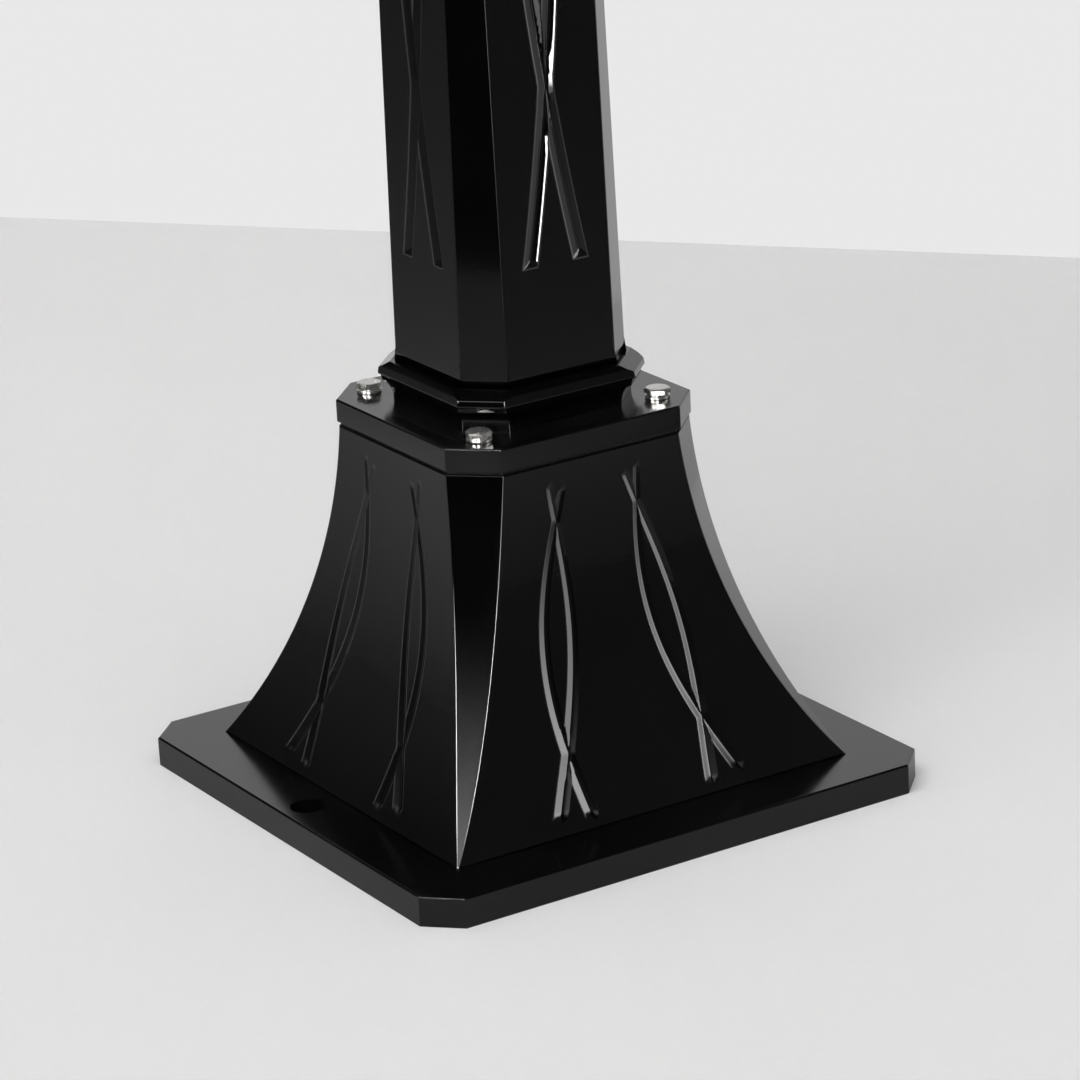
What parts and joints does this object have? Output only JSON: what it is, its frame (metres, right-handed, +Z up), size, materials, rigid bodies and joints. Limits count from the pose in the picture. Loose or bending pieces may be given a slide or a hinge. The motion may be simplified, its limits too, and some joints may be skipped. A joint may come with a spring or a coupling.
{
  "type": "lawn light",
  "caption": "Low garden light: square base plate, flared foot, tapered post with crossing grooves and a lantern head with a lift-off roof.",
  "frame": {"origin": "on the ground, at the centre of the base plate's underside", "axes": "+Z up along the post, -Y is the front face, X across"},
  "size_m": [0.2, 0.2, 0.8],
  "materials": {
    "black_paint": "glossy black paint on cast aluminium",
    "stainless_steel": "bright stainless steel",
    "zinc_steel": "zinc-plated steel",
    "black_rubber": "matt black rubber",
    "opal_acrylic": "opal white acrylic",
    "grey_plastic": "moulded grey plastic",
    "white_ceramic": "white glazed ceramic",
    "brass_metal": "turned brass",
    "cap_metal": "bright pressed aluminium",
    "white_plastic": "white moulded plastic",
    "opal_globe": "opal white globe",
    "white_paint": "matt white paint on sheet"
  },
  "bodies": {
    "lamp": {"base_plate": "black_paint", "pedestal": "black_paint", "foot_flange": "black_paint", "foot_collar": "black_paint", "post": "black_paint", "capital": "black_paint", "lantern_pan": "black_paint", "lantern_frame": "black_paint", "flange_bolts": "stainless_steel", "spring_washers": "stainless_steel", "pedestal_screws": "zinc_steel", "post_screws": "zinc_steel", "bracket_screws": "zinc_steel", "block_screws": "zinc_steel", "head_nipple": "zinc_steel", "nipple_nuts": "zinc_steel", "frame_screws": "zinc_steel", "retainer_screws": "zinc_steel", "terminal_bracket": "zinc_steel", "panel_retainer": "zinc_steel", "cable_grommet": "black_rubber", "flange_gasket": "black_rubber", "roof_gasket": "black_rubber", "lamp_lead": "black_rubber", "diffuser_front": "opal_acrylic", "diffuser_right": "opal_acrylic", "diffuser_back": "opal_acrylic", "diffuser_left": "opal_acrylic", "terminal_block": "grey_plastic", "lamp_holder": "white_ceramic", "holder_shell": "brass_metal", "holder_contact": "brass_metal"},
    "roof": {"roof": "black_paint", "roof_reflector": "white_paint", "reflector_screws": "zinc_steel", "finial": "black_paint", "finial_lock_nut": "zinc_steel"},
    "thumb_left": {"thumb_screw_left": "brass_metal"},
    "thumb_right": {"thumb_screw_right": "brass_metal"},
    "bulb": {"bulb_cap": "cap_metal", "bulb_body": "white_plastic", "bulb_globe": "opal_globe"}
  },
  "joints": [
    {"name": "roof_lift", "type": "slide", "parent": "lamp", "child": "roof", "axis": [0, 0, 1], "range_m": [0, 0.15]},
    {"name": "thumb_left_turn", "type": "hinge", "parent": "roof", "child": "thumb_left", "pos_m": [-0.0765, 0, 0.7315], "axis": [-1, 0, 0], "range_deg": [0, 1080]},
    {"name": "thumb_right_turn", "type": "hinge", "parent": "roof", "child": "thumb_right", "pos_m": [0.0765, 0, 0.7315], "axis": [1, 0, 0], "range_deg": [0, 1080]},
    {"name": "bulb_turn", "type": "hinge", "parent": "lamp", "child": "bulb", "pos_m": [0, 0, 0.68], "axis": [0, 0, 1], "range_deg": [0, 1080]}
  ]
}
